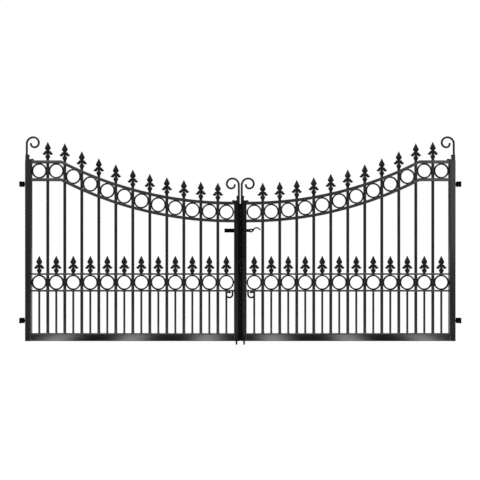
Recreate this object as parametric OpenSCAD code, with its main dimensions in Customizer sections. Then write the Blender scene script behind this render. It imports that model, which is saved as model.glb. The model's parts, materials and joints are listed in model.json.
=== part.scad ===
// Pair of wrought iron driveway gates: two swing leaves on knuckle hinges, with ringed bands, spear
// finials, shepherd's crook scrolls, a slide latch and a drop bolt on each leaf. Millimetres.
//
// The origin is on the flat back of the lower left hinge bracket, level with its knuckle, in the plane of
// the bars. +X runs along the closed gate, +Y goes away from the road and +Z is up. Each leaf is drawn as
// the right-hand one, with X measured from the line where the leaves meet, and the left one is its mirror.

/* [Leaf] */
// Width of one leaf over its stiles
leaf_w = 1460; // [1400:10:1520]
// Gap between the closed leaves
meeting_gap = 6; // [5:1:10]
// Width and depth of the box section of the frame
frame_w = 40; // [36:1:50]
// Height of the bottom rail
bottom_rail_h = 50; // [40:1:60]
// Rounding of the box section's corners
frame_round = 4; // [2:0.5:6]
// Height of the bottom of the frame below the lower hinge
foot_drop = 138; // [120:1:160]
// Top of the leaf at the hinge stile, above the lower hinge
hinge_side_h = 1091; // [1040:1:1140]
// Drop of the curved top from the hinge stile to the meeting stile
top_drop = 281; // [220:1:320]

/* [Bars] */
// Full-height bars in a leaf
bar_count = 11; // [9:1:11]
// Diameter of a full-height bar
bar_d = 20; // [16:1:22]
// Diameter of a dog bar
dog_bar_d = 14; // [10:1:16]
// Length of bar that stands above the top rail
bar_stub = 8; // [4:1:20]

/* [Rails] */
// Depth of the rails that the bars pass through
rail_depth = 30; // [28:1:36]
// Thickness of the two curved top rails
top_rail_t = 20; // [14:1:22]
// Thickness of the two middle rails
mid_rail_t = 10; // [8:1:14]
// Height of the middle band's centre above the lower hinge
mid_band_z = 260; // [220:1:300]
// Clearance of a bar in its punched hole, and of a ring from what it is fitted to
weld_gap = 0.2; // [0.1:0.05:0.4]

/* [Rings] */
// Metal left between one ring and the next, at the middle of a bar
ring_web = 12.4; // [8:0.2:16]
// Radial thickness of a ring
ring_wall = 9.8; // [9.4:0.1:12]
// Depth of a ring
ring_depth = 12; // [8:1:16]
// Depth to which a top ring is let into the curved rails
ring_bite = 1.3; // [0.5:0.1:2]

/* [Finials] */
// Height of a spear finial
finial_h = 119; // [100:1:130]
// Width of a spear finial over its two curled leaves
finial_w = 74; // [64:1:84]
// Thickness of a spear finial at its head
finial_t = 20; // [14:1:24]

/* [Scrolls] */
// Diameter of the scroll bar
scroll_d = 14; // [10:1:16]
// Radius of the scroll where it leaves its stem
scroll_r = 44.5; // [40:0.5:50]
// Loss of radius at each quarter turn
scroll_tighten = 7; // [4:0.5:9]
// Height of the straight stem of a scroll
scroll_stem = 114; // [90:1:140]
// Length of the stepped foot plate under a scroll
foot_l = 54; // [44:1:60]
// Height of the plate's low step
foot_low_h = 11; // [8:1:18]
// Length of the plate's high step, which holds the stem
foot_step_l = 24; // [20:1:30]
// Height of the plate's high step
foot_step_h = 40; // [30:1:50]
// Thickness of the foot plate
foot_t = 20; // [16:1:24]
// Slope at the ends of the foot plate's steps
foot_ease = 3; // [1:0.5:5]

/* [Hinges] */
// Height of the upper hinge above the lower one
hinge_rise = 930; // [880:5:980]
// Height of a hinge over its three knuckles
hinge_h = 36; // [32:1:48]
// Distance from the hinge stile to the pin's axis
pin_out = 18; // [16:1:22]
// Distance from the pin's axis to the back of the bracket
pin_to_back = 22; // [22:1:28]
// Distance of the pin's axis behind the plane of the bars
pin_back = 5; // [5:1:10]
// Diameter of the hinge pin
pin_d = 10; // [8:1:12]
// Running clearance around the pin
pin_play = 0.1; // [0.05:0.01:0.1]
// Diameter of a knuckle
knuckle_d = 18; // [16:1:20]
// Clearance between one knuckle and the next
knuckle_gap = 0.5; // [0.3:0.1:1]
// Thickness of the bracket's plate
bracket_t = 10; // [8:1:10]
// Width of the bracket's plate
bracket_w = 30; // [28:1:44]

/* [Slide latch] */
// Height of the latch above the lower hinge
latch_z = 614; // [560:1:660]
// Height of the latch bar
latch_bar_h = 20; // [14:1:22]
// Thickness of the latch bar
latch_bar_t = 8; // [6:1:10]
// Wall of the keep and of the guide
latch_wall = 2.5; // [2:0.5:4]
// Clearance around the latch bar
latch_play = 0.5; // [0.3:0.1:0.8]
// Clearance around the latch bar in its keep
latch_keep_play = 1; // [0.8:0.1:1.5]
// Distance that the latch bar slides
latch_throw = 40; // [30:1:44]
// Gap left between the tail and the guide when the latch is shot
latch_stop_gap = 5; // [5:1:8]
// Length of the guide on the right leaf
latch_guide_l = 12; // [10:1:14]
// Distance of the keep's far end from the meeting line
latch_keep_reach = 109; // [90:1:120]
// Distance of the latch bar's tail from the meeting line
latch_tail_x = 90; // [84:1:96]
// Diameter of the padlock hole in the tail
padlock_hole_d = 9; // [7:1:10]
// Metal between that hole and the shoulder of the tail
padlock_edge = 7; // [4:0.5:8]
// Diameter of the curved latch handle
latch_handle_d = 9; // [6:0.5:10]
// Radius of the curved latch handle
latch_handle_r = 25; // [20:1:28]
// Depth of the handle's centre below the middle of the latch bar
latch_handle_drop = 6; // [4:0.5:8]
// Distance by which the handle laps onto the tail
latch_handle_lap = 2; // [1:0.5:4]
// Angle of the handle's free end above the level
latch_handle_end = 20; // [0:5:40]
// Angle of the handle's root on the tail
latch_handle_root = 175; // [165:5:180]

/* [Drop bolts] */
// Diameter of a drop bolt
bolt_d = 12; // [10:1:14]
// Distance of a drop bolt from the meeting line
bolt_x = 26; // [22:1:30]
// Length of bolt that shows below the raised frame
bolt_tip = 31; // [20:1:40]
// Chamfer at a bolt's tip
bolt_chamfer = 2; // [1:0.5:4]
// Distance that a bolt drops
bolt_throw = 120; // [80:5:130]
// Clearance of a bolt from the frame and around it in its guides
bolt_play = 0.3; // [0.2:0.05:0.4]
// Height of a bolt guide
guide_h = 20; // [14:1:24]
// Wall of a bolt guide around the bolt
guide_wall = 6; // [4:1:8]
// Distance of a bolt from the back of its stile
bolt_stand_off = 3; // [2:0.5:6]
// Radius of the bend at the top of a bolt's rod
bolt_bend_r = 15; // [12:1:20]
// Radius of the curl at a bolt's top
curl_r = 22; // [18:1:24]
// Loss of radius where the curl turns in
curl_tighten = 6.5; // [5:0.5:8]
// Angle through which the curl turns in
curl_turn_in = 150; // [90:5:160]

/* [Meeting strips] */
// Width of the strip along each meeting edge
strip_w = 14; // [8:1:18]
// Gap between the two strips when the gate is shut
strip_gap = 0.6; // [0.6:0.1:1.5]
// Thickness of a strip
strip_t = 4; // [3:1:6]
// Distance of a strip's end below the top of its stile
strip_top_gap = 14; // [8:1:24]
// Distance of a strip's end above the foot of its stile
strip_foot_gap = 4; // [0:1:12]

/* [Hidden] */
$fn = 64;

// Places along X, from the meeting line outwards
leaf_x0 = meeting_gap / 2;
leaf_x1 = leaf_x0 + leaf_w;
field_x0 = leaf_x0 + frame_w;
field_x1 = leaf_x1 - frame_w;
pin_x = leaf_x1 + pin_out;
half_opening = pin_x + pin_to_back;
field_w = field_x1 - field_x0;
bar_pitch = (field_w + ring_web - 2 * weld_gap) / (bar_count + 1);
ring_d = bar_pitch - ring_web;
top_band_h = ring_d + top_rail_t - 2 * ring_bite;
bar_x0 = field_x0 + weld_gap + ring_d / 2 + bar_pitch / 2;
bars_x = [for (i = [0 : bar_count - 1]) bar_x0 + i * bar_pitch];
bays_x = [for (i = [0 : bar_count]) bar_x0 + (i - 0.5) * bar_pitch];

// Heights
foot_z = -foot_drop;
bottom_rail_top = foot_z + bottom_rail_h;
low_top_z = hinge_side_h - top_drop;
ring_r = ring_d / 2;
mid_rail_step = ring_r + weld_gap + mid_rail_t / 2;
upper_mid_z = mid_band_z + mid_rail_step;
lower_mid_z = mid_band_z - mid_rail_step;

// The top sweeps in one arc from the end of the scroll's foot, where it is level, to just past the last
// bar but one
sweep_x0 = leaf_x0 + foot_l;
sweep_x1 = bars_x[bar_count - 2] + bar_d;
sweep_run = sweep_x1 - sweep_x0;
sweep_r = (sweep_run * sweep_run + top_drop * top_drop) / (2 * top_drop);

function top_z(x) =
    x <= sweep_x0 ? low_top_z
    : x >= sweep_x1 ? hinge_side_h
    : low_top_z + sweep_r - sqrt(sweep_r * sweep_r - (x - sweep_x0) * (x - sweep_x0));

iron = "#1b1b1c";

// Shared shapes

// Square with rounded corners, centred
module rounded_box_outline(w, h, r) {
    square([w - 2 * r, h], center = true);
    square([w, h - 2 * r], center = true);
    for (sx = [-1, 1], sy = [-1, 1])
        translate([sx * (w / 2 - r), sy * (h / 2 - r)])
            circle(r);
}

// A flat outline in X and Z, drawn with a depth about the plane of the bars
module upright(depth) {
    rotate([90, 0, 0])
        translate([0, 0, -depth / 2])
            linear_extrude(depth)
                children();
}

// Round bar bent along part of a circle in the X-Z plane
module bent_bar(centre, r, from, sweep, d) {
    translate([centre[0], 0, centre[1]])
        rotate([90, 0, 0])
            rotate([0, 0, sweep < 0 ? from + sweep : from])
                rotate_extrude(angle = abs(sweep))
                    translate([r, 0])
                        circle(d = d);
}

module stile(x, top) {
    translate([x + frame_w / 2, 0, foot_z])
        linear_extrude(top - foot_z)
            rounded_box_outline(frame_w, frame_w, frame_round);
}

// Outline of a curved rail whose upper edge lies this far below the top of the leaf
module rail_outline(below) {
    translate([0, -below]) {
        translate([field_x0, low_top_z - top_rail_t])
            square([sweep_x0 - field_x0, top_rail_t]);
        translate([sweep_x1, hinge_side_h - top_rail_t])
            square([field_x1 - sweep_x1, top_rail_t]);
        intersection() {
            translate([sweep_x0, low_top_z + sweep_r])
                difference() {
                    circle(sweep_r + top_rail_t, $fn = 360);
                    circle(sweep_r, $fn = 360);
                }
            translate([sweep_x0, low_top_z - top_rail_t])
                square([sweep_run, top_drop + top_rail_t]);
        }
    }
}

module bar_holes() {
    for (x = bars_x)
        translate([x, 0, foot_z])
            cylinder(d = bar_d + 2 * weld_gap, h = 2 * hinge_side_h);
}

module curved_rail(below) {
    difference() {
        upright(rail_depth)
            rail_outline(below);
        bar_holes();
    }
}

module mid_rail(z) {
    difference() {
        translate([field_x0, -rail_depth / 2, z - mid_rail_t / 2])
            cube([field_w, rail_depth, mid_rail_t]);
        bar_holes();
    }
}

module ring(x, z) {
    upright(ring_depth)
        translate([x, z])
            difference() {
                circle(ring_r);
                circle(ring_r - ring_wall);
            }
}

// Half outline of a finial, from its neck up: lower bud, curled leaf, waist and spear head
function finial_half() = let (w = finial_w / 2, h = finial_h) [
    [0.16 * w, 0], [0.16 * w, 0.03 * h], [0.46 * w, 0.14 * h], [0.2 * w, 0.3 * h],
    [0.26 * w, 0.37 * h], [0.48 * w, 0.38 * h], [0.64 * w, 0.32 * h], [0.8 * w, 0.26 * h],
    [w, 0.32 * h], [0.8 * w, 0.42 * h], [0.54 * w, 0.5 * h], [0.28 * w, 0.52 * h],
    [0.5 * w, 0.64 * h], [0.24 * w, 0.83 * h], [0.03 * w, h]
];

// The same from the side: thick at the bud and the head, thin at the tip
function finial_side() = let (w = finial_t / 2, h = finial_h) [
    [0.6 * w, 0], [0.6 * w, 0.03 * h], [0.9 * w, 0.14 * h], [0.6 * w, 0.3 * h],
    [0.7 * w, 0.5 * h], [w, 0.64 * h], [0.1 * w, h]
];

function mirrored(half) = concat(half, [for (i = [len(half) - 1 : -1 : 0]) [-half[i][0], half[i][1]]]);

module finial(x, z) {
    translate([x, 0, z])
        intersection() {
            upright(finial_t)
                polygon(mirrored(finial_half()));
            rotate([0, 0, 90])
                upright(finial_w)
                    polygon(mirrored(finial_side()));
        }
}

// Shepherd's crook: a stem that curls over towards +X in four quarter turns, on a stepped foot plate that
// reaches over the stile onto the top rail. X starts at the outer side of the stile.
module crook() {
    r = [for (i = [0 : 3]) scroll_r - i * scroll_tighten];
    c0 = [r[0], scroll_stem];
    c1 = [c0[0], c0[1] + r[0] - r[1]];
    c2 = [c1[0] + r[1] - r[2], c1[1]];
    c3 = [c2[0], c2[1] - r[2] + r[3]];
    centres = [c0, c1, c2, c3];
    translate([scroll_d / 2, 0, 0]) {
        cylinder(d = scroll_d, h = scroll_stem);
        for (i = [0 : 3])
            bent_bar(centres[i], r[i], 180 - 90 * i, -90, scroll_d);
        translate([c3[0] - r[3], 0, c3[1]])
            sphere(d = scroll_d);
    }
    upright(foot_t)
        polygon([
            [0, 0], [0, foot_step_h], [foot_step_l - foot_ease, foot_step_h],
            [foot_step_l, foot_step_h - foot_ease], [foot_step_l - foot_ease, foot_low_h + foot_ease],
            [foot_step_l + foot_ease, foot_low_h - foot_ease], [foot_l - 3 * foot_ease, foot_low_h],
            [foot_l - foot_ease, foot_low_h], [foot_l, 0]
        ]);
}

// Pieces of a leaf

module hinge_stile() {
    color(iron)
        stile(field_x1, hinge_side_h);
}

module meeting_stile() {
    color(iron)
        stile(leaf_x0, low_top_z);
}

module bottom_rail() {
    color(iron)
        translate([field_x0, 0, foot_z + bottom_rail_h / 2])
            rotate([0, 90, 0])
                linear_extrude(field_w)
                    rounded_box_outline(bottom_rail_h, frame_w, frame_round);
}

module top_rail() {
    color(iron)
        curved_rail(0);
}

module band_rail() {
    color(iron)
        curved_rail(top_band_h);
}

module upper_mid_rail() {
    color(iron)
        mid_rail(upper_mid_z);
}

module lower_mid_rail() {
    color(iron)
        mid_rail(lower_mid_z);
}

module bars() {
    color(iron)
        for (x = bars_x)
            translate([x, 0, bottom_rail_top])
                cylinder(d = bar_d, h = top_z(x) + bar_stub - bottom_rail_top);
}

module dog_bars() {
    color(iron)
        for (x = bays_x)
            translate([x, 0, bottom_rail_top])
                cylinder(d = dog_bar_d, h = lower_mid_z - mid_rail_t / 2 - bottom_rail_top);
}

// The rings are coped to the bars beside them and to the curved rails above and below
module top_rings() {
    color(iron)
        difference() {
            for (x = bays_x)
                ring(x, top_z(x) - (top_band_h + top_rail_t) / 2);
            bar_holes();
            for (below = [0, top_band_h])
                upright(rail_depth)
                    for (up = [-weld_gap, weld_gap])
                        translate([0, up])
                            rail_outline(below);
        }
}

module mid_rings() {
    color(iron)
        difference() {
            for (x = bays_x)
                ring(x, mid_band_z);
            bar_holes();
        }
}

module finials() {
    color(iron)
        for (x = bars_x)
            finial(x, top_z(x) + bar_stub);
}

module dog_finials() {
    color(iron)
        for (x = bays_x)
            finial(x, upper_mid_z + mid_rail_t / 2);
}

module hinge_scroll() {
    color(iron)
        translate([leaf_x1, 0, hinge_side_h])
            mirror([1, 0, 0])
                crook();
}

module meeting_scroll() {
    color(iron)
        translate([leaf_x0, 0, low_top_z])
            crook();
}

knuckle_h = (hinge_h - 2 * knuckle_gap) / 3;

// Eye of each hinge: the middle knuckle on its arm from the stile
module hinge_eyes() {
    color(iron)
        for (z = [0, hinge_rise])
            translate([pin_x, pin_back, z])
                difference() {
                    union() {
                        cylinder(d = knuckle_d, h = knuckle_h, center = true);
                        translate([-pin_out / 2, 0, 0])
                            cube([pin_out, knuckle_d / 2, knuckle_h], center = true);
                    }
                    cylinder(d = pin_d + 2 * pin_play, h = hinge_h, center = true);
                }
}

// Fixed half of a hinge: two knuckles and the pin on a plate
module hinge_bracket(z) {
    color(iron)
        translate([pin_x, pin_back, z]) {
            cylinder(d = pin_d, h = hinge_h, center = true);
            for (up = [-1, 1])
                translate([0, 0, up * (knuckle_h + knuckle_gap)]) {
                    cylinder(d = knuckle_d, h = knuckle_h, center = true);
                    translate([(pin_to_back - bracket_t / 2) / 2, 0, 0])
                        cube([pin_to_back - bracket_t / 2, knuckle_d / 2, knuckle_h], center = true);
                }
            translate([pin_to_back - bracket_t, knuckle_d / 2 - bracket_w, -hinge_h / 2])
                cube([bracket_t, bracket_w, hinge_h]);
        }
}

module meeting_strip() {
    color(iron)
        translate([strip_gap / 2, -frame_w / 2 - strip_t, foot_z + strip_foot_gap])
            cube([strip_w, strip_t, low_top_z - foot_z - strip_top_gap - strip_foot_gap]);
}

// Drop bolt

bolt_y = frame_w / 2 + bolt_stand_off + bolt_d / 2;
bolt_arm_z = lower_mid_z;
curl_x = bolt_x + bolt_bend_r + bolt_d + curl_r;
curl_z = bolt_arm_z - bolt_d - bolt_bend_r;

module bolt_guides() {
    color(iron)
        for (z = [bottom_rail_top + guide_h / 2, bottom_rail_top + bolt_throw + guide_h / 2])
            translate([bolt_x, 0, z])
                difference() {
                    translate([-bolt_d / 2 - guide_wall, frame_w / 2, -guide_h / 2])
                        cube([bolt_d + 2 * guide_wall, bolt_y - frame_w / 2 + bolt_d / 2 + guide_wall, guide_h]);
                    translate([0, bolt_y, -guide_h])
                        cylinder(d = bolt_d + 2 * bolt_play, h = 2 * guide_h);
                }
}

// The rod turns out behind the lower middle rail and curls down and in on itself
module drop_bolt() {
    inner_r = curl_r - curl_tighten;
    color(iron)
        translate([0, bolt_y, 0]) {
            translate([bolt_x, 0, foot_z - bolt_tip]) {
                cylinder(d1 = bolt_d - 2 * bolt_chamfer, d2 = bolt_d, h = bolt_chamfer);
                translate([0, 0, bolt_chamfer])
                    cylinder(d = bolt_d, h = bolt_arm_z - bolt_bend_r - foot_z + bolt_tip - bolt_chamfer);
            }
            bent_bar([bolt_x + bolt_bend_r, bolt_arm_z - bolt_bend_r], bolt_bend_r, 180, -90, bolt_d);
            bent_bar([bolt_x + bolt_bend_r, bolt_arm_z - bolt_d], bolt_d, 90, -90, bolt_d);
            translate([bolt_x + bolt_bend_r + bolt_d, 0, curl_z])
                cylinder(d = bolt_d, h = bolt_arm_z - bolt_d - curl_z);
            bent_bar([curl_x, curl_z], curl_r, 180, 180, bolt_d);
            bent_bar([curl_x + curl_r - inner_r, curl_z], inner_r, 0, curl_turn_in, bolt_d);
        }
}

// Slide latch

latch_y = frame_w / 2 + latch_wall + latch_play;
latch_case_h = latch_bar_h + 2 * latch_play + 2 * latch_wall;
latch_case_t = latch_bar_t + 2 * latch_play + 2 * latch_wall;
tail_x0 = leaf_x0 + latch_wall + latch_guide_l + latch_throw + latch_stop_gap;
padlock_x = tail_x0 + padlock_edge + padlock_hole_d / 2;

// Rectangular case on the back of a meeting stile, open at both ends for the latch bar
module latch_case(x0, x1) {
    slot_h = latch_bar_h + 2 * latch_play;
    slot_t = latch_bar_t + 2 * latch_play;
    difference() {
        translate([x0, frame_w / 2, latch_z - latch_case_h / 2])
            cube([x1 - x0, latch_case_t, latch_case_h]);
        translate([x0 - latch_wall, frame_w / 2 + latch_wall, latch_z - slot_h / 2])
            cube([x1 - x0 + 2 * latch_wall, slot_t, slot_h]);
    }
}

// Channel with its legs on the back of a meeting stile, which takes the end of the shot latch bar
module latch_keep() {
    slot_h = latch_bar_h + 2 * latch_keep_play;
    slot_t = latch_y + latch_bar_t + latch_keep_play - frame_w / 2;
    keep_x0 = leaf_x0 + latch_wall;
    keep_l = latch_keep_reach - keep_x0;
    color(iron)
        translate([keep_x0, frame_w / 2, latch_z - slot_h / 2])
            difference() {
                translate([0, 0, -latch_wall])
                    cube([keep_l, slot_t + latch_wall, slot_h + 2 * latch_wall]);
                translate([-latch_wall, -latch_wall, 0])
                    cube([keep_l + 2 * latch_wall, slot_t + latch_wall, slot_h]);
            }
}

module latch_guide() {
    color(iron)
        latch_case(leaf_x0 + latch_wall, leaf_x0 + latch_wall + latch_guide_l);
}

module latch_bolt() {
    tail_h = latch_case_h;
    bar_y = latch_y + latch_bar_t / 2;
    handle_x = latch_tail_x + latch_handle_r - latch_handle_lap;
    color(iron) {
        translate([leaf_x0 + latch_wall, latch_y, latch_z - latch_bar_h / 2])
            cube([tail_x0 - leaf_x0 - latch_wall - weld_gap, latch_bar_t, latch_bar_h]);
        translate([0, bar_y, latch_z])
            difference() {
                upright(latch_bar_t)
                    polygon([
                        [tail_x0, -tail_h / 2], [latch_tail_x - tail_h / 4, -tail_h / 2],
                        [latch_tail_x, 0], [latch_tail_x, tail_h / 2], [tail_x0, tail_h / 2]
                    ]);
                translate([padlock_x, 0, 0])
                    rotate([90, 0, 0])
                        cylinder(d = padlock_hole_d, h = 2 * latch_bar_t, center = true);
            }
        translate([0, bar_y, latch_z])
            bent_bar([handle_x, -latch_handle_drop], latch_handle_r, latch_handle_end,
                latch_handle_root - latch_handle_end, latch_handle_d);
    }
}

// A leaf's pieces stand at their own side of the opening
module on_right() {
    translate([half_opening, 0, 0])
        children();
}

module on_left() {
    translate([half_opening, 0, 0])
        mirror([1, 0, 0])
            children();
}

on_left() hinge_bracket(0);  // left_lower_hinge_bracket
on_left() hinge_bracket(hinge_rise);  // left_upper_hinge_bracket
on_right() hinge_bracket(0);  // right_lower_hinge_bracket
on_right() hinge_bracket(hinge_rise);  // right_upper_hinge_bracket
on_left() hinge_stile();  // left_hinge_stile
on_left() meeting_stile();  // left_meeting_stile
on_left() bottom_rail();  // left_bottom_rail
on_left() top_rail();  // left_top_rail
on_left() band_rail();  // left_band_rail
on_left() upper_mid_rail();  // left_upper_mid_rail
on_left() lower_mid_rail();  // left_lower_mid_rail
on_left() bars();  // left_bars
on_left() dog_bars();  // left_dog_bars
on_left() top_rings();  // left_top_rings
on_left() mid_rings();  // left_mid_rings
on_left() finials();  // left_finials
on_left() dog_finials();  // left_dog_finials
on_left() hinge_scroll();  // left_hinge_scroll
on_left() meeting_scroll();  // left_meeting_scroll
on_left() hinge_eyes();  // left_hinge_eyes
on_left() meeting_strip();  // left_meeting_strip
on_left() bolt_guides();  // left_bolt_guides
on_left() drop_bolt();  // left_drop_bolt
on_right() hinge_stile();  // right_hinge_stile
on_right() meeting_stile();  // right_meeting_stile
on_right() bottom_rail();  // right_bottom_rail
on_right() top_rail();  // right_top_rail
on_right() band_rail();  // right_band_rail
on_right() upper_mid_rail();  // right_upper_mid_rail
on_right() lower_mid_rail();  // right_lower_mid_rail
on_right() bars();  // right_bars
on_right() dog_bars();  // right_dog_bars
on_right() top_rings();  // right_top_rings
on_right() mid_rings();  // right_mid_rings
on_right() finials();  // right_finials
on_right() dog_finials();  // right_dog_finials
on_right() hinge_scroll();  // right_hinge_scroll
on_right() meeting_scroll();  // right_meeting_scroll
on_right() hinge_eyes();  // right_hinge_eyes
on_right() meeting_strip();  // right_meeting_strip
on_right() bolt_guides();  // right_bolt_guides
on_right() drop_bolt();  // right_drop_bolt
on_left() latch_keep();
on_right() latch_guide();
on_right() latch_bolt();
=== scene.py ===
"""Looks of a pair of black wrought iron driveway gates, dressed around their solids. Metres."""

import json
import math

import bmesh
import bpy
from mathutils import Matrix, Vector


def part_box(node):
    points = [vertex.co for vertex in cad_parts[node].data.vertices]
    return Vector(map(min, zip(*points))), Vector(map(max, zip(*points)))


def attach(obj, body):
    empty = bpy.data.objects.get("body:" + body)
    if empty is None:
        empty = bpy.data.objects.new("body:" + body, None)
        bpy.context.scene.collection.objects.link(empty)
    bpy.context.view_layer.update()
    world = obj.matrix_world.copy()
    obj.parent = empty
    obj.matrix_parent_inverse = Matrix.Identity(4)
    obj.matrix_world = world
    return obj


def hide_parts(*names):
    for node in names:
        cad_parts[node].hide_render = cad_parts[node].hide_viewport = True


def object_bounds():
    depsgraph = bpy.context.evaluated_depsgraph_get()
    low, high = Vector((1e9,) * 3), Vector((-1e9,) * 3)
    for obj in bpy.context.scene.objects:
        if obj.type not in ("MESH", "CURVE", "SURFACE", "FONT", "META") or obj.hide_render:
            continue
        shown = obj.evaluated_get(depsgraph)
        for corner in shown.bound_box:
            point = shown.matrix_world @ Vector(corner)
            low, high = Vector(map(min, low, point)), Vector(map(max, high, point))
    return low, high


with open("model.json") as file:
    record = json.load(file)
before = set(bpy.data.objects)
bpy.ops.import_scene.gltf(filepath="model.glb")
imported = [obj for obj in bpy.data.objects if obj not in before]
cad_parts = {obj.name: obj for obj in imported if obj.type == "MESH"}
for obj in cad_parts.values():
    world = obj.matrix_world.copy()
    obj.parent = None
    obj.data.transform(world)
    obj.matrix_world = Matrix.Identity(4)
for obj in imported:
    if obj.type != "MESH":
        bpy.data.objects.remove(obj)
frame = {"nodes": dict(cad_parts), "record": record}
solid_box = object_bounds()

MM = 0.001
MERGE = 0.01 * MM
SIDES = ("left", "right")


# Places taken from the solids

def islands(node_name):
    """Lowest and highest corner of every separate solid in a node, from left to right."""
    bm = bmesh.new()
    bm.from_mesh(frame["nodes"][node_name].data)
    bmesh.ops.remove_doubles(bm, verts=bm.verts, dist=MERGE)
    left_over = set(bm.verts)
    boxes = []
    while left_over:
        seed = left_over.pop()
        found = [seed]
        for vert in found:
            for edge in vert.link_edges:
                other = edge.other_vert(vert)
                if other in left_over:
                    left_over.remove(other)
                    found.append(other)
        low = Vector([min(v.co[i] for v in found) for i in range(3)])
        high = Vector([max(v.co[i] for v in found) for i in range(3)])
        boxes.append((low, high))
    bm.free()
    return sorted(boxes, key=lambda box: (box[0].x, box[0].z))


gate_mid_x = (solid_box[0].x + solid_box[1].x) / 2
gate_low_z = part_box("left_bottom_rail")[0].z
bar_r = (islands("left_bars")[0][1].x - islands("left_bars")[0][0].x) / 2
dog_bar_r = (islands("left_dog_bars")[0][1].x - islands("left_dog_bars")[0][0].x) / 2


# Materials

def srgb(hex_code):
    """Linear colour of an sRGB hex code such as #1b1b1c."""
    channels = [int(hex_code[i:i + 2], 16) / 255 for i in (1, 3, 5)]
    return tuple(c / 12.92 if c <= 0.04045 else ((c + 0.055) / 1.055) ** 2.4 for c in channels) + (1.0,)


def add(tree, kind, settings=None, links=None):
    """New node of a kind, with its properties or socket values set and its inputs linked."""
    new = tree.nodes.new("ShaderNode" + kind)
    for name, value in (settings or {}).items():
        if isinstance(name, int) or name in new.inputs:
            new.inputs[name].default_value = value
        else:
            setattr(new, name, value)
    for name, source in (links or {}).items():
        tree.links.new(source, new.inputs[name])
    return new


def waves(millimetres):
    """Scale of a noise whose lumps are this far apart, for coordinates in metres."""
    return 1.0 / (millimetres * MM)


PAINT_IOR = 1.5
# How strongly each finish mirrors what is around it
MIRROR_LEVEL = {
    "gloss_enamel_on_box_section": 0.2,
    "rolled_flat_enamel_painted_sheen": 0.4,
    "gloss_enamel_on_drawn_bar": 0.2,
    "enamel_on_sand_cast_iron": 0.1,
    "satin_black_on_forged_steel": 0.02,
}
DUST = "#6b6862"
RAIL_DUST = "#726f68"
DUST_FROM = 0.35
WHITE = (1.0, 1.0, 1.0, 1.0)


def blank_material(name):
    """Material with an empty node tree."""
    material = bpy.data.materials.new(name)
    material.use_nodes = True
    material.node_tree.nodes.clear()
    return material, material.node_tree


def paint_base(name):
    """Material with a coordinate node in metres and a shader that reaches the output."""
    material, tree = blank_material(name)
    place = add(tree, "TexCoord").outputs["Object"]
    shader = add(tree, "BsdfPrincipled", {"IOR": PAINT_IOR, "Specular IOR Level": MIRROR_LEVEL[name]})
    add(tree, "OutputMaterial", links={"Surface": shader.outputs["BSDF"]})
    return material, tree, place, shader


def ramp(tree, source, low, high, at=(0.35, 0.65)):
    """Colour ramp between two sRGB hex codes over a part of a 0 to 1 source."""
    new = add(tree, "ValToRGB", links={"Fac": source})
    for stop, place, colour in zip(new.color_ramp.elements, at, (low, high)):
        stop.position = place
        stop.color = srgb(colour)
    return new.outputs["Color"]


def spread(tree, source, low, high):
    """Maps a 0 to 1 source to a range of numbers."""
    return add(tree, "MapRange", {"To Min": low, "To Max": high}, {"Value": source}).outputs["Result"]


def dusted(tree, colour, grit, dust_hex, most):
    """A thin veil of pale dust on what faces up, broken up by a noise."""
    normal = add(tree, "NewGeometry").outputs["Normal"]
    up = add(tree, "SeparateXYZ", links={"Vector": normal}).outputs["Z"]
    facing = add(tree, "MapRange", {"From Min": DUST_FROM, "From Max": 1.0, "To Max": most}, {"Value": up})
    veil = add(tree, "Math", {"operation": "MULTIPLY"}, {0: facing.outputs["Result"], 1: grit})
    mixed = add(tree, "MixRGB", {"Color2": srgb(dust_hex)}, {"Fac": veil.outputs[0], "Color1": colour})
    return mixed.outputs["Color"]


def gloss_enamel_on_box_section():
    # Sprayed gloss enamel on welded box tube: deep black, with the faint ripple of sprayed paint in every
    # reflection and slow drifts in gloss where the coat is thicker. The ripple is drawn coarser than the
    # real 1 mm so that it shows.
    material, tree, place, shader = paint_base("gloss_enamel_on_box_section")
    drift = add(tree, "TexNoise", {"Scale": waves(180), "Detail": 3.0}, {"Vector": place}).outputs["Fac"]
    peel = add(tree, "TexNoise", {"Scale": waves(5), "Detail": 2.0}, {"Vector": place}).outputs["Fac"]
    colour = ramp(tree, drift, "#0b0b0c", "#121213")
    tree.links.new(dusted(tree, colour, drift, DUST, 0.16), shader.inputs["Base Color"])
    tree.links.new(spread(tree, drift, 0.2, 0.34), shader.inputs["Roughness"])
    bump = add(tree, "Bump", {"Strength": 0.12, "Distance": 0.3 * MM}, {"Height": peel})
    tree.links.new(bump.outputs["Normal"], shader.inputs["Normal"])
    shader.inputs["Coat Weight"].default_value = 0.15
    shader.inputs["Coat Roughness"].default_value = 0.12
    return material


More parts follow.
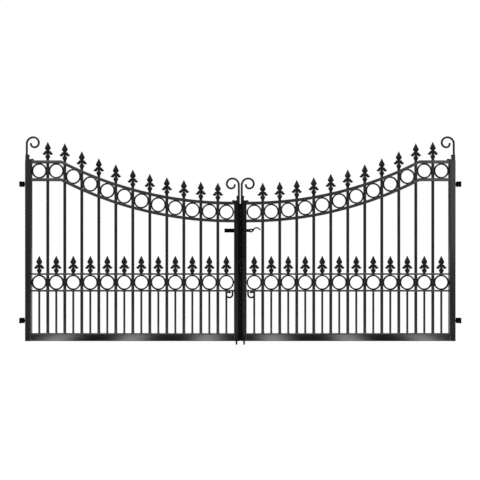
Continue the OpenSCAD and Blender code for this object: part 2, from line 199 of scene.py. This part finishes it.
def rolled_flat_enamel_painted_sheen():
    # Gloss enamel brushed over hot-rolled flat bar: the mill scale underneath leaves shallow patches, and
    # the brush leaves lengthwise drags that blur the highlight along the rail. Its black is painted lighter
    # than the frame's, as a painted sheen.
    material, tree, place, shader = paint_base("rolled_flat_enamel_painted_sheen")
    along = add(tree, "Mapping", {"Scale": (0.12, 1.0, 1.0)}, {"Vector": place}).outputs["Vector"]
    scale = add(tree, "TexNoise", {"Scale": waves(28), "Detail": 4.0}, {"Vector": place}).outputs["Fac"]
    drag = add(tree, "TexNoise", {"Scale": waves(4), "Detail": 2.0}, {"Vector": along}).outputs["Fac"]
    # The base is a lighter black than the frame's: a painted sheen for the light that the rails catch
    colour = ramp(tree, scale, "#1a1a1b", "#28282a")
    tree.links.new(dusted(tree, colour, scale, RAIL_DUST, 0.22), shader.inputs["Base Color"])
    tree.links.new(spread(tree, scale, 0.24, 0.42), shader.inputs["Roughness"])
    low = add(tree, "Bump", {"Strength": 0.2, "Distance": 0.5 * MM}, {"Height": scale}).outputs["Normal"]
    bump = add(tree, "Bump", {"Strength": 0.15, "Distance": 0.2 * MM}, {"Height": drag, "Normal": low})
    tree.links.new(bump.outputs["Normal"], shader.inputs["Normal"])
    return material


def gloss_enamel_on_drawn_bar():
    # Gloss enamel on round bar: drawing leaves fine lines down the bar, so the highlight is a narrow streak
    # with soft breaks.
    material, tree, place, shader = paint_base("gloss_enamel_on_drawn_bar")
    down = add(tree, "Mapping", {"Scale": (1.0, 1.0, 0.06)}, {"Vector": place}).outputs["Vector"]
    lines = add(tree, "TexNoise", {"Scale": waves(3), "Detail": 3.0}, {"Vector": down}).outputs["Fac"]
    patch = add(tree, "TexNoise", {"Scale": waves(60), "Detail": 3.0}, {"Vector": place}).outputs["Fac"]
    tree.links.new(ramp(tree, patch, "#0d0d0e", "#161617"), shader.inputs["Base Color"])
    tree.links.new(spread(tree, patch, 0.22, 0.38), shader.inputs["Roughness"])
    bump = add(tree, "Bump", {"Strength": 0.18, "Distance": 0.25 * MM}, {"Height": lines})
    tree.links.new(bump.outputs["Normal"], shader.inputs["Normal"])
    return material


def enamel_on_sand_cast_iron():
    # Enamel over sand-cast iron: the sand's grain stays in the skin, so the gloss breaks up into fine
    # sparkle. The hollows of the lumps are painted a darker black, a painted shade. The 0.5 mm grain is
    # drawn at 1.6 mm so that it shows.
    material, tree, place, shader = paint_base("enamel_on_sand_cast_iron")
    grain = add(tree, "TexNoise", {"Scale": waves(1.6), "Detail": 4.0}, {"Vector": place}).outputs["Fac"]
    lumps = add(tree, "TexNoise", {"Scale": waves(14), "Detail": 3.0}, {"Vector": place}).outputs["Fac"]
    # Darker black where the lumps dip: painted shade in the hollows
    colour = ramp(tree, lumps, "#0b0b0c", "#131314")
    tree.links.new(dusted(tree, colour, grain, DUST, 0.12), shader.inputs["Base Color"])
    tree.links.new(spread(tree, grain, 0.28, 0.5), shader.inputs["Roughness"])
    low = add(tree, "Bump", {"Strength": 0.25, "Distance": 0.6 * MM}, {"Height": lumps}).outputs["Normal"]
    bump = add(tree, "Bump", {"Strength": 0.2, "Distance": 0.2 * MM}, {"Height": grain, "Normal": low})
    tree.links.new(bump.outputs["Normal"], shader.inputs["Normal"])
    return material


def satin_black_on_forged_steel():
    # Satin black on forged hinges, latch and bolts: hammer facets about 9 mm across turn the light a little
    # each way, and the thin coat is duller than the frame's.
    material, tree, place, shader = paint_base("satin_black_on_forged_steel")
    facets = add(tree, "TexVoronoi", {"Scale": waves(9), "feature": "SMOOTH_F1"}, {"Vector": place})
    fine = add(tree, "TexNoise", {"Scale": waves(2), "Detail": 3.0}, {"Vector": place}).outputs["Fac"]
    colour = ramp(tree, fine, "#040405", "#08080a")
    tree.links.new(dusted(tree, colour, fine, DUST, 0.12), shader.inputs["Base Color"])
    tree.links.new(spread(tree, fine, 0.48, 0.62), shader.inputs["Roughness"])
    hammered = facets.outputs["Distance"]
    low = add(tree, "Bump", {"Strength": 0.3, "Distance": 0.5 * MM}, {"Height": hammered}).outputs["Normal"]
    bump = add(tree, "Bump", {"Strength": 0.1, "Distance": 0.1 * MM}, {"Height": fine, "Normal": low})
    tree.links.new(bump.outputs["Normal"], shader.inputs["Normal"])
    return material


FINISHES = {
    "frame_paint": gloss_enamel_on_box_section(),
    "rail_paint": rolled_flat_enamel_painted_sheen(),
    "bar_paint": gloss_enamel_on_drawn_bar(),
    "casting_paint": enamel_on_sand_cast_iron(),
    "ironmongery_paint": satin_black_on_forged_steel(),
}
SLOT_OF = {part["node"]: part["material_slot"] for part in frame["record"]["subparts"]}
BODY_OF = {n: body for body, names in frame["record"]["behaviour"]["bodies"].items() for n in names}


def finish_with(obj, slot_name):
    obj.data.materials.clear()
    obj.data.materials.append(FINISHES[slot_name])


def new_piece(name, mesh, body, slot_name, replaced=()):
    """Mesh object that rides on a body, takes its finish from a slot and may stand for solids."""
    obj = bpy.data.objects.new(name, mesh)
    bpy.context.scene.collection.objects.link(obj)
    finish_with(obj, slot_name)
    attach(obj, body)
    if replaced:
        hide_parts(*replaced)
    return obj


def mesh_from(bm, name, sharp_angle=40):
    """Smooth-shaded mesh with creases kept over an angle in degrees."""
    bmesh.ops.recalc_face_normals(bm, faces=bm.faces)
    for face in bm.faces:
        face.smooth = True
    for edge in bm.edges:
        if len(edge.link_faces) == 2 and edge.calc_face_angle(0.0) > math.radians(sharp_angle):
            edge.smooth = False
    mesh = bpy.data.meshes.new(name)
    bm.to_mesh(mesh)
    bm.free()
    return mesh


# Solids that keep their shape

for node_name, node_object in frame["nodes"].items():
    finish_with(node_object, SLOT_OF[node_name])


# Eased edges: rails, rings and ironmongery get the small round that rolling, casting and paint leave

EASED_MM = {
    "top_rail": 4.0, "band_rail": 4.0, "upper_mid_rail": 3.5, "lower_mid_rail": 3.5, "meeting_strip": 0.3,
    "top_rings": 1.5, "mid_rings": 1.5, "hinge_eyes": 1.0, "bolt_guides": 1.5,
}
BRACKET_EASED_MM = 1.5
LATCH_EASED_MM = 1.0
EASE_STEPS = 3
FLAT_ANGLE = math.radians(0.5)
CORNER_ANGLE = math.radians(50)


def eased(node_name, radius_mm):
    """Copy of a solid with its sharp edges rounded, which stands for it."""
    bm = bmesh.new()
    bm.from_mesh(frame["nodes"][node_name].data)
    bmesh.ops.remove_doubles(bm, verts=bm.verts, dist=MERGE)
    bmesh.ops.dissolve_limit(bm, angle_limit=FLAT_ANGLE, verts=bm.verts, edges=bm.edges)
    corners = [e for e in bm.edges if len(e.link_faces) == 2 and e.calc_face_angle(0.0) > CORNER_ANGLE]
    bmesh.ops.bevel(
        bm, geom=corners, offset=radius_mm * MM, offset_type="OFFSET", segments=EASE_STEPS, profile=0.5,
        affect="EDGES", clamp_overlap=True,
    )
    bmesh.ops.triangulate(bm, faces=bm.faces)
    mesh = mesh_from(bm, node_name + "_eased")
    return new_piece(node_name + "_eased", mesh, BODY_OF[node_name], SLOT_OF[node_name], [node_name])


STRIP_PAINT = 0.29 * MM
STRIP_EDGE = 2 * MM


def painted_edge(strip):
    """Moves a meeting strip's edge out by its paint, so that little light shows between the leaves."""
    for vert in strip.data.vertices:
        aside = vert.co.x - gate_mid_x
        if abs(aside) < STRIP_EDGE:
            vert.co.x -= math.copysign(STRIP_PAINT, aside)


for side in SIDES:
    for piece_name, radius_mm in EASED_MM.items():
        piece = eased(f"{side}_{piece_name}", radius_mm)
        if piece_name == "meeting_strip":
            painted_edge(piece)
    for height in ("lower", "upper"):
        eased(f"{side}_{height}_hinge_bracket", BRACKET_EASED_MM)
for node_name in ("latch_keep", "latch_guide"):
    eased(node_name, LATCH_EASED_MM)


# Spear finials

HEAD_SIDES = 24

# Height, half width and half depth as shares of the finial's own, and how square the section is: 2 is an
# ellipse and 1 is a diamond with a ridge
SPEAR_SECTIONS = (
    (0.000, 0.26, 0.66, 2.0), (0.035, 0.27, 0.68, 2.0), (0.060, 0.31, 0.74, 1.7), (0.100, 0.41, 0.86, 1.4),
    (0.150, 0.48, 0.92, 1.3), (0.200, 0.42, 0.86, 1.4), (0.250, 0.31, 0.70, 1.6), (0.310, 0.22, 0.56, 2.0),
    (0.360, 0.21, 0.54, 2.0), (0.430, 0.22, 0.56, 2.0), (0.490, 0.25, 0.60, 1.9), (0.530, 0.33, 0.72, 1.6),
    (0.580, 0.47, 0.90, 1.3), (0.620, 0.55, 0.98, 1.2), (0.650, 0.57, 1.00, 1.2), (0.690, 0.52, 0.94, 1.2),
    (0.770, 0.39, 0.78, 1.2), (0.850, 0.26, 0.58, 1.2), (0.930, 0.14, 0.36, 1.3), (0.980, 0.07, 0.20, 1.6),
    (1.000, 0.04, 0.10, 2.0),
)
# Outline of a curled leaf in the same shares: out over its shoulder to the tip that flicks out, back along
# its heavy underside and up to the stem
LEAF_OUTLINE = (
    (0.05, 0.520), (0.29, 0.504), (0.47, 0.486), (0.61, 0.446), (0.69, 0.402),
    (0.80, 0.368), (0.985, 0.335), (0.91, 0.292), (0.76, 0.258), (0.55, 0.248),
    (0.38, 0.270), (0.27, 0.318), (0.17, 0.354), (0.05, 0.372),
)
LEAF_HEART = (0.50, 0.375)
# How far the leaf's layers shrink to its heart, from its rim to its face, and their depths as a share of
# the whole
LEAF_LAYERS = ((1.0, 0.0), (0.95, 0.35), (0.80, 0.68), (0.55, 0.90), (0.25, 1.0))
LEAF_DEPTH = 0.8
LEAF_STEPS = 42


def oval(half_w, half_d, power, sides):
    """Points around a section that runs from a diamond to an ellipse."""
    points = []
    for i in range(sides):
        turn = 2 * math.pi * i / sides
        c, s = math.cos(turn), math.sin(turn)
        points.append((
            math.copysign(abs(c) ** (2 / power), c) * half_w,
            math.copysign(abs(s) ** (2 / power), s) * half_d,
        ))
    return points


def skin(bm, rings):
    """Faces between rings of points, with both ends closed."""
    made = [[bm.verts.new(p) for p in ring] for ring in rings]
    count = len(made[0])
    for low, high in zip(made, made[1:]):
        for i in range(count):
            j = (i + 1) % count
            bm.faces.new((low[i], low[j], high[j], high[i]))
    bm.faces.new(reversed(made[0]))
    bm.faces.new(made[-1])


def through(points, t):
    """Place on a smooth curve through all the points, at a share t of the way along."""
    last = len(points) - 1
    i = min(int(t * last), last - 1)
    s = t * last - i
    a, b, c, d = (Vector(points[min(max(k, 0), last)]) for k in (i - 1, i, i + 1, i + 2))
    bend = 2 * a - 5 * b + 4 * c - d
    twist = 3 * b - a - 3 * c + d
    return b + (c - a) * (s / 2) + bend * (s * s / 2) + twist * (s ** 3 / 2)


def curled_leaf(bm, foot, half_w, half_d, height, way):
    """One of a finial's leaves: cushioned from its rim to its face on both sides."""
    rim = [through(LEAF_OUTLINE, i / LEAF_STEPS) for i in range(LEAF_STEPS + 1)]
    heart = Vector(LEAF_HEART)
    back_to_front = [(size, -deep) for size, deep in reversed(LEAF_LAYERS[1:])] + list(LEAF_LAYERS)
    rings = []
    for size, deep in back_to_front:
        outline = [heart + (point - heart) * size for point in rim]
        y = foot.y + deep * LEAF_DEPTH * half_d
        rings.append([(foot.x + way * x * half_w, y, foot.z + z * height) for x, z in outline])
    skin(bm, rings)


def spear_finials(side, node_tail):
    """All the finials of a row, each cast as bud, curled leaves and spear head."""
    node_name = f"{side}_{node_tail}"
    bm = bmesh.new()
    for low, high in islands(node_name):
        half = (high - low) / 2
        foot = Vector((low.x + half.x, low.y + half.y, low.z))
        height = 2 * half.z
        rings = []
        for z, w, d, power in SPEAR_SECTIONS:
            outline = oval(w * half.x, d * half.y, power, HEAD_SIDES)
            rings.append([(foot.x + x, foot.y + y, foot.z + z * height) for x, y in outline])
        skin(bm, rings)
        for way in (-1, 1):
            curled_leaf(bm, foot, half.x, half.y, height, way)
    mesh = mesh_from(bm, node_name + "_cast", sharp_angle=55)
    new_piece(node_name + "_cast", mesh, f"{side}_leaf", "casting_paint", [node_name])


for side in SIDES:
    for node_tail in ("finials", "dog_finials"):
        spear_finials(side, node_tail)


# Weld beads under the paint

BEAD_SIDES = 28
BEAD_STEPS = 6
BEAD_MM = 4.0
BEAD_RIPPLE = 0.12
# Ripples and slower swells around a bead, and how far the ripples shift from bar to bar
BEAD_RIPPLES = 9
BEAD_SWELLS = 4
BEAD_SHIFT = 37
BEAD_HOLLOW = 0.82
BEAD_SINK = 0.5 * MM


def weld_collar(bm, x, y, z, radius, up):
    """Fillet bead around a bar where it meets a rail, above (up = 1) or below (up = -1) its face."""
    rings = []
    for step in range(BEAD_STEPS + 1):
        lean = math.pi / 2 * step / BEAD_STEPS
        ring = []
        for i in range(BEAD_SIDES):
            turn = 2 * math.pi * i / BEAD_SIDES
            ripple = BEAD_RIPPLE * math.sin(BEAD_RIPPLES * turn + BEAD_SHIFT * x)
            swell = BEAD_RIPPLE * math.sin(BEAD_SWELLS * turn)
            size = BEAD_MM * MM * (1 + ripple + swell)
            out = radius + size * (1 - BEAD_HOLLOW * math.sin(lean)) - BEAD_SINK * (step == BEAD_STEPS)
            rise = size * (1 - BEAD_HOLLOW * math.cos(lean)) - BEAD_SINK * (step == 0)
            ring.append((x + out * math.cos(turn), y + out * math.sin(turn), z + up * rise))
        rings.append(ring)
    skin(bm, rings)


def welds(side):
    """Beads at the feet of the bars, and at the middle rails that they pass through."""
    bm = bmesh.new()
    bars = islands(f"{side}_bars")
    dog_bars = islands(f"{side}_dog_bars")
    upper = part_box(f"{side}_upper_mid_rail")
    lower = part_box(f"{side}_lower_mid_rail")
    for low, high in bars:
        x, y = (low.x + high.x) / 2, (low.y + high.y) / 2
        for z, up in ((low.z, 1), (upper[0].z, -1), (upper[1].z, 1), (lower[0].z, -1), (lower[1].z, 1)):
            weld_collar(bm, x, y, z, bar_r, up)
    for low, high in dog_bars:
        x, y = (low.x + high.x) / 2, (low.y + high.y) / 2
        weld_collar(bm, x, y, low.z, dog_bar_r, 1)
        weld_collar(bm, x, y, high.z, dog_bar_r, -1)
    mesh = mesh_from(bm, f"{side}_welds", sharp_angle=80)
    new_piece(f"{side}_welds", mesh, f"{side}_leaf", "rail_paint")


for side in SIDES:
    welds(side)


# Stage: pale floor, white surroundings, soft light and the camera

FLOOR_DROP = 50 * MM
FLOOR_HALF = 40.0
FLOOR_CLEAR_FROM = 1.5
FLOOR_CLEAR_TO = 5.0
FLOOR_WHITE_NEAR = 0.985
FLOOR_BEHIND = 0.2
# Light of the room: to the sides in front of the gate, straight in front of it, behind it and overhead
ROOM_SIDES = 1.6
ROOM_MIDDLE = 0.04
ROOM_BEHIND = 0.06
ROOM_CEILING = 5.0
# Cosines of the angles from straight behind the gate at which the white backdrop starts and is full
BACKDROP_FROM = 0.965
BACKDROP_FULL = 0.99
# Shares of a direction's sideways, forward and upward parts over which the room's light changes
SIDES_FROM = 0.12
SIDES_FULL = 0.42
FRONT_TO_BACK = 0.6
CEILING_FROM = 0.7
CEILING_FULL = 0.9


def white_share(tree, behind):
    """1 for rays from the eye, and for mirrored rays by how far the place is behind the gate."""
    path = add(tree, "LightPath").outputs
    glossy, passed = path["Is Glossy Ray"], path["Is Transmission Ray"]
    mirrored = add(tree, "Math", {"operation": "MAXIMUM"}, {0: glossy, 1: passed})
    there = add(tree, "Math", {"operation": "MULTIPLY"}, {0: mirrored.outputs[0], 1: behind})
    share = add(tree, "Math", {"operation": "MAXIMUM"}, {0: path["Is Camera Ray"], 1: there.outputs[0]})
    return share.outputs[0]


def stage_sheet(name, material, half_x, y_low, y_high, z):
    """Level sheet under the gate's middle."""
    bm = bmesh.new()
    corners = [(-half_x, y_low), (half_x, y_low), (half_x, y_high), (-half_x, y_high)]
    bm.faces.new([bm.verts.new((gate_mid_x + x, y, z)) for x, y in corners])
    mesh = bpy.data.meshes.new(name)
    bm.to_mesh(mesh)
    bm.free()
    mesh.materials.append(material)
    sheet = bpy.data.objects.new(name, mesh)
    bpy.context.scene.collection.objects.link(sheet)
    return sheet


def pale_floor():
    # Matt white studio floor: it takes the gate's soft shadow and fades to clear white further off
    material, tree = blank_material("matt_white_studio_floor")
    place = add(tree, "NewGeometry").outputs["Position"]
    floor_z = gate_low_z - FLOOR_DROP
    away = add(tree, "VectorMath", {"operation": "DISTANCE"}, {0: place})
    away.inputs[1].default_value = (gate_mid_x, 0.0, floor_z)
    clear = add(tree, "MapRange", {
        "From Min": FLOOR_CLEAR_FROM, "From Max": FLOOR_CLEAR_TO, "To Min": FLOOR_WHITE_NEAR, "To Max": 1.0,
    }, {"Value": away.outputs["Value"]})
    depth = add(tree, "SeparateXYZ", links={"Vector": place}).outputs["Y"]
    behind = add(tree, "MapRange", {"From Min": -FLOOR_BEHIND, "From Max": FLOOR_BEHIND}, {"Value": depth})
    white_here = white_share(tree, behind.outputs["Result"])
    share = add(tree, "Math", {"operation": "MULTIPLY"}, {0: clear.outputs["Result"], 1: white_here})
    matt = add(tree, "BsdfDiffuse", {"Color": srgb("#e6e6e4")})
    white = add(tree, "Emission", {"Color": WHITE, "Strength": 1.0})
    mix = add(tree, "MixShader", links={0: share.outputs[0], 1: matt.outputs[0], 2: white.outputs[0]})
    add(tree, "OutputMaterial", links={"Surface": mix.outputs[0]})
    floor = stage_sheet("studio_floor", material, FLOOR_HALF, -FLOOR_HALF, FLOOR_HALF, floor_z)


def white_surroundings():
    # White to the eye. As light it is a dim room with pale sides and ceiling, darkest behind the camera and
    # behind the gate; reflections also show the white backdrop where it hangs, behind the gate.
    world = bpy.data.worlds.new("white_studio")
    bpy.context.scene.world = world
    world.use_nodes = True
    tree = world.node_tree
    tree.nodes.clear()
    toward = add(tree, "SeparateXYZ", links={"Vector": add(tree, "TexCoord").outputs["Generated"]}).outputs
    aside = add(tree, "Math", {"operation": "ABSOLUTE"}, {0: toward["X"]})
    front = add(tree, "MapRange", {
        "From Min": SIDES_FROM, "From Max": SIDES_FULL, "To Min": ROOM_MIDDLE, "To Max": ROOM_SIDES,
    }, {"Value": aside.outputs[0]})
    room = add(tree, "MapRange", {
        "From Min": -FRONT_TO_BACK, "From Max": FRONT_TO_BACK, "To Max": ROOM_BEHIND,
    }, {"Value": toward["Y"], "To Min": front.outputs["Result"]})
    overhead = add(tree, "MapRange", {
        "From Min": CEILING_FROM, "From Max": CEILING_FULL, "To Max": ROOM_CEILING,
    }, {"Value": toward["Z"]})
    glossy = add(tree, "LightPath").outputs["Is Glossy Ray"]
    ceiling = add(tree, "Math", {"operation": "MULTIPLY"}, {0: overhead.outputs["Result"], 1: glossy})
    backdrop = add(tree, "MapRange", {
        "From Min": BACKDROP_FROM, "From Max": BACKDROP_FULL,
    }, {"Value": toward["Y"]})
    white = white_share(tree, backdrop.outputs["Result"])
    dim = add(tree, "Math", {"operation": "MAXIMUM"}, {0: room.outputs["Result"], 1: ceiling.outputs[0]})
    strength = add(tree, "Math", {"operation": "MAXIMUM"}, {0: dim.outputs[0], 1: white})
    background = add(tree, "Background", {"Color": WHITE}, {"Strength": strength.outputs[0]})
    add(tree, "OutputWorld", links={"Surface": background.outputs[0]})


# Row of low lamps: their pitch, the first one's distance from the gate's middle, and the sheet's reach
ROW_PITCH = 0.549
ROW_FIRST = 0.246
ROW_NEAR = 0.1
ROW_FAR = 0.75
ROW_HALF = 1.75
ROW_STRENGTH = 14.0
ROW_SHARPNESS = 3.0


def low_lamp_row():
    # A row of soft lamps on the floor in front of the gate, seen only as mirrored along the bottom rails
    material, tree = blank_material("low_lamp_row")
    place = add(tree, "NewGeometry").outputs["Position"]
    along = add(tree, "SeparateXYZ", links={"Vector": place}).outputs["X"]
    aside = add(tree, "Math", {"operation": "SUBTRACT", 1: gate_mid_x}, {0: along})
    aside = add(tree, "Math", {"operation": "ABSOLUTE"}, {0: aside.outputs[0]})
    turn = add(tree, "MapRange", {
        "clamp": False, "From Min": ROW_FIRST, "From Max": ROW_FIRST + ROW_PITCH, "To Max": 2 * math.pi,
    }, {"Value": aside.outputs[0]})
    wave = add(tree, "Math", {"operation": "COSINE"}, {0: turn.outputs["Result"]})
    swell = add(tree, "MapRange", {"From Min": -1.0, "From Max": 1.0}, {"Value": wave.outputs[0]})
    peak = add(tree, "Math", {"operation": "POWER", 1: ROW_SHARPNESS}, {0: swell.outputs["Result"]})
    glow = add(tree, "Math", {"operation": "MULTIPLY", 1: ROW_STRENGTH}, {0: peak.outputs[0]})
    lamp = add(tree, "Emission", {"Color": WHITE}, {"Strength": glow.outputs[0]})
    add(tree, "OutputMaterial", links={"Surface": lamp.outputs[0]})
    row = stage_sheet("low_lamp_row", material, ROW_HALF, -ROW_FAR, -ROW_NEAR, gate_low_z - FLOOR_DROP + MM)
    row.visible_camera = False
    row.visible_diffuse = False
    row.visible_shadow = False


def softbox(name, place, target, width, height, watts):
    lamp = bpy.data.lights.new(name, "AREA")
    lamp.shape = "RECTANGLE"
    lamp.size = width
    lamp.size_y = height
    lamp.energy = watts
    obj = bpy.data.objects.new(name, lamp)
    bpy.context.scene.collection.objects.link(obj)
    aim = Vector(target) - Vector(place)
    obj.matrix_world = Matrix.Translation(place) @ aim.to_track_quat("-Z", "Y").to_matrix().to_4x4()


LAMP_AIM_Z = 0.45
# Name, place from the gate's middle, width, height and watts
SOFTBOXES = (
    ("key_softbox", (-2.2, -3.2, 3.0), 1.6, 1.6, 60),
    ("fill_softbox", (2.6, -2.8, 1.2), 1.2, 1.8, 14),
)

CAMERA_BACK = 4.5
CAMERA_HEIGHT = 0.549
CAMERA_ASIDE = -2 * MM
CAMERA_ANGLE = 39.98


def photo_camera():
    data = bpy.data.cameras.new("photo_camera")
    data.sensor_fit = "HORIZONTAL"
    data.angle = math.radians(CAMERA_ANGLE)
    camera = bpy.data.objects.new("photo_camera", data)
    camera.location = (gate_mid_x + CAMERA_ASIDE, -CAMERA_BACK, CAMERA_HEIGHT)
    camera.rotation_euler = (math.pi / 2, 0.0, 0.0)
    bpy.context.scene.collection.objects.link(camera)
    bpy.context.scene.camera = camera


pale_floor()
white_surroundings()
low_lamp_row()
gate_middle = (gate_mid_x, 0.0, LAMP_AIM_Z)
for lamp_name, (aside, depth, height), lamp_w, lamp_h, watts in SOFTBOXES:
    softbox(lamp_name, (gate_mid_x + aside, depth, height), gate_middle, lamp_w, lamp_h, watts)
photo_camera()
bpy.context.scene.view_settings.view_transform = "Standard"
